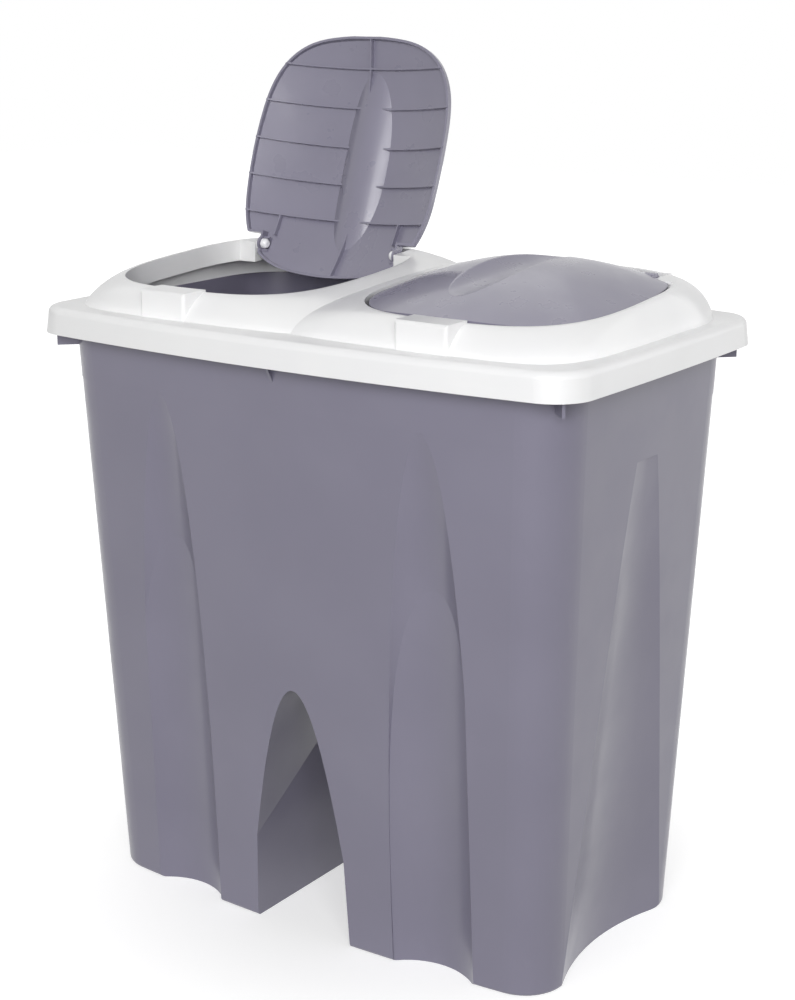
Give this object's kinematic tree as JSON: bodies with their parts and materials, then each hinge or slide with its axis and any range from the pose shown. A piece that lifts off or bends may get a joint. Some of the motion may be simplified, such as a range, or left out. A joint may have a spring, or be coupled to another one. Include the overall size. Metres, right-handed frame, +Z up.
{
  "type": "double recycling bin",
  "caption": "Floor-standing plastic bin with two compartments over an arch base, a lift-off cover frame and hinged domed flaps.",
  "frame": {"origin": "on the floor under the middle of the bin", "axes": "+X along the long side, -Y towards the front, +Z up"},
  "size_m": [0.536, 0.3478, 0.7443],
  "materials": {
    "tub_plastic": "semi-gloss moulded, lilac grey",
    "cover_plastic": "semi-gloss moulded, off-white",
    "flap_plastic": "gloss moulded, lilac grey",
    "pin_plastic": "gloss moulded, white"
  },
  "bodies": {
    "tub": {"tub": "tub_plastic"},
    "cover": {"cover": "cover_plastic", "left_flap_pin_left": "pin_plastic", "left_flap_pin_right": "pin_plastic", "right_flap_pin_left": "pin_plastic", "right_flap_pin_right": "pin_plastic"},
    "left_flap": {"left_flap": "flap_plastic"},
    "right_flap": {"right_flap": "flap_plastic"}
  },
  "joints": [
    {"name": "cover_lift", "type": "slide", "parent": "tub", "child": "cover", "axis": [0, 0, 1], "range_m": [0, 0.12]},
    {"name": "left_flap_hinge", "type": "hinge", "parent": "cover", "child": "left_flap", "pos_m": [-0.128, 0.082, 0.5565], "axis": [1, 0, 0], "range_deg": [0, 113.5]},
    {"name": "right_flap_hinge", "type": "hinge", "parent": "cover", "child": "right_flap", "pos_m": [0.128, 0.082, 0.5565], "axis": [-1, 0, 0], "range_deg": [0, 113.5]}
  ]
}
